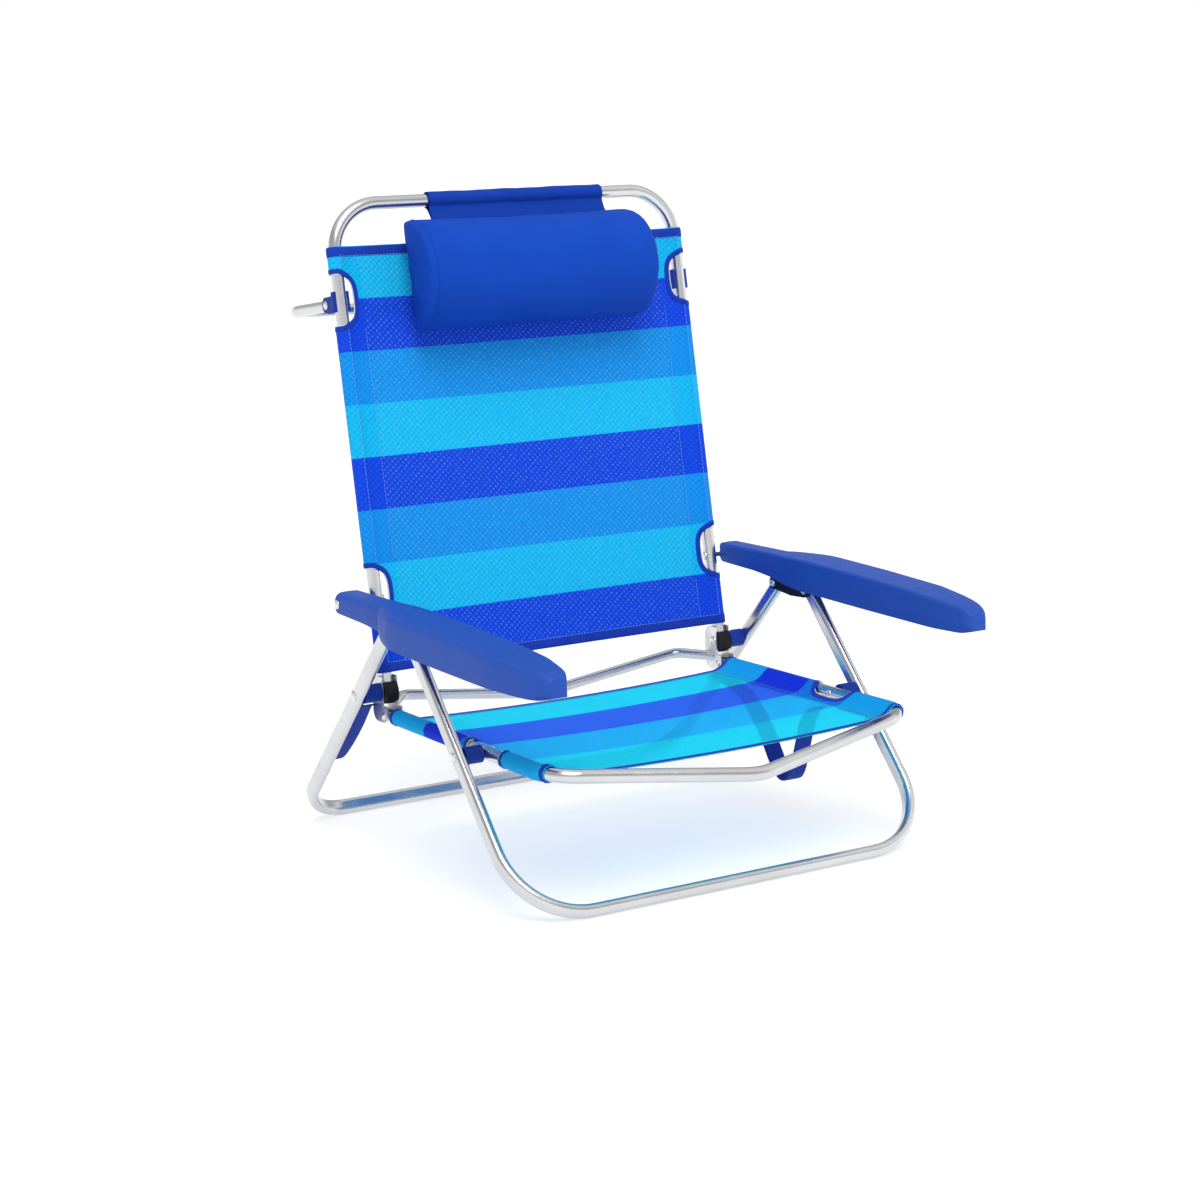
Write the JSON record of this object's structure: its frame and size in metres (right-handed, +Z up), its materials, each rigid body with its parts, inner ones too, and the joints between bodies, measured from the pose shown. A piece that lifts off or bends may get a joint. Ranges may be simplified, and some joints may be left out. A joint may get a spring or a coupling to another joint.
{
  "type": "beach chair",
  "caption": "Low folding beach chair: two crossed tube leg frames, slung mesh seat and reclining back, armrests, head pillow, towel rail and carrying straps.",
  "frame": {"origin": "on the floor, under the middle of the chair's bounding box", "axes": "+Z up, the sitter faces -Y, +X is the sitter's left"},
  "size_m": [0.614, 0.751, 0.7739],
  "materials": {
    "frame_metal": "satin",
    "plate_metal": "satin",
    "fastener_metal": "polished",
    "black_plastic": "matte",
    "blue_plastic": "satin",
    "arm_plastic": "satin",
    "striped_mesh": "woven",
    "pillow_fabric": "woven",
    "webbing": "woven"
  },
  "bodies": {
    "seat_frame": {"seat_frame_tube": "frame_metal", "rear_crossbar": "frame_metal", "hinge_plate_inner_right": "plate_metal", "hinge_plate_inner_left": "plate_metal", "hinge_plate_outer_right": "plate_metal", "hinge_plate_outer_left": "plate_metal", "seat_tube_plug_right": "black_plastic", "seat_tube_plug_left": "black_plastic", "rear_spacer_right": "blue_plastic", "rear_spacer_left": "blue_plastic", "front_spacer_right": "blue_plastic", "front_spacer_left": "blue_plastic", "front_pivot_bolts": "fastener_metal", "plate_rivets": "fastener_metal", "seat_fabric": "striped_mesh", "strap_right": "webbing", "strap_left": "webbing", "strap_rivets": "fastener_metal"},
    "pivot_bolts": {"rear_pivot_bolts": "fastener_metal"},
    "back": {"back_frame_tube": "frame_metal", "hinge_insert_right": "black_plastic", "hinge_insert_left": "black_plastic", "back_tube_plug_right": "black_plastic", "back_tube_plug_left": "black_plastic", "towel_clip_right": "blue_plastic", "towel_clip_left": "blue_plastic", "towel_rail_rivets": "fastener_metal", "back_fabric": "striped_mesh"},
    "arm_bolts": {"arm_pivot_bolts": "fastener_metal"},
    "armrests": {"armrest_right": "arm_plastic", "armrest_left": "arm_plastic", "arm_rack_right": "arm_plastic", "arm_rack_left": "arm_plastic"},
    "front_leg": {"front_leg_tube": "frame_metal"},
    "rear_leg": {"rear_leg_tube": "frame_metal", "rear_leg_rivets": "fastener_metal"},
    "leg_brackets": {"leg_bracket_right": "black_plastic", "leg_bracket_left": "black_plastic", "bracket_rivets": "fastener_metal"},
    "towel_rail": {"towel_rail_tube": "frame_metal"},
    "head_pillow": {"pillow": "pillow_fabric", "pillow_sleeve": "pillow_fabric"}
  },
  "joints": [
    {"name": "fold", "type": "hinge", "parent": "seat_frame", "child": "pivot_bolts", "pos_m": [0, 0.103, 0.193], "axis": [1, 0, 0], "range_deg": [0, 80]},
    {"name": "recline", "type": "hinge", "parent": "pivot_bolts", "child": "back", "pos_m": [0, 0.103, 0.193], "axis": [1, 0, 0], "range_deg": [-35, 0]},
    {"name": "arm_fold", "type": "hinge", "parent": "back", "child": "arm_bolts", "pos_m": [0, 0.1201, 0.30095], "axis": [1, 0, 0], "range_deg": [-80, 0]},
    {"name": "arm_recline", "type": "hinge", "parent": "arm_bolts", "child": "armrests", "pos_m": [0, 0.1201, 0.30095], "axis": [1, 0, 0], "range_deg": [0, 24.15]},
    {"name": "front_leg_fold", "type": "hinge", "parent": "seat_frame", "child": "front_leg", "pos_m": [0, -0.1445, 0.165], "axis": [1, 0, 0], "range_deg": [-54, 0]},
    {"name": "rear_leg_fold", "type": "hinge", "parent": "seat_frame", "child": "rear_leg", "pos_m": [0, 0.103, 0.193], "axis": [1, 0, 0], "range_deg": [0, 33.4]},
    {"name": "bracket_fold", "type": "hinge", "parent": "front_leg", "child": "leg_brackets", "pos_m": [0, -0.04748, 0.2741], "axis": [1, 0, 0], "range_deg": [0, 154.4]},
    {"name": "towel_rail_swing", "type": "hinge", "parent": "back", "child": "towel_rail", "pos_m": [0, 0.2085, 0.645], "axis": [1, 0, 0], "range_deg": [-93, 0]},
    {"name": "pillow_flip", "type": "hinge", "parent": "back", "child": "head_pillow", "pos_m": [0, 0.19326, 0.7629], "axis": [1, 0, 0], "range_deg": [-170, 0]}
  ],
  "couplings": [
    {"joint": "arm_fold", "follows": "fold", "ratio": -1},
    {"joint": "arm_recline", "follows": "recline", "ratio": -0.69},
    {"joint": "front_leg_fold", "follows": "fold", "ratio": -0.675},
    {"joint": "rear_leg_fold", "follows": "fold", "ratio": 0.4175},
    {"joint": "bracket_fold", "follows": "fold", "ratio": 1.93}
  ]
}
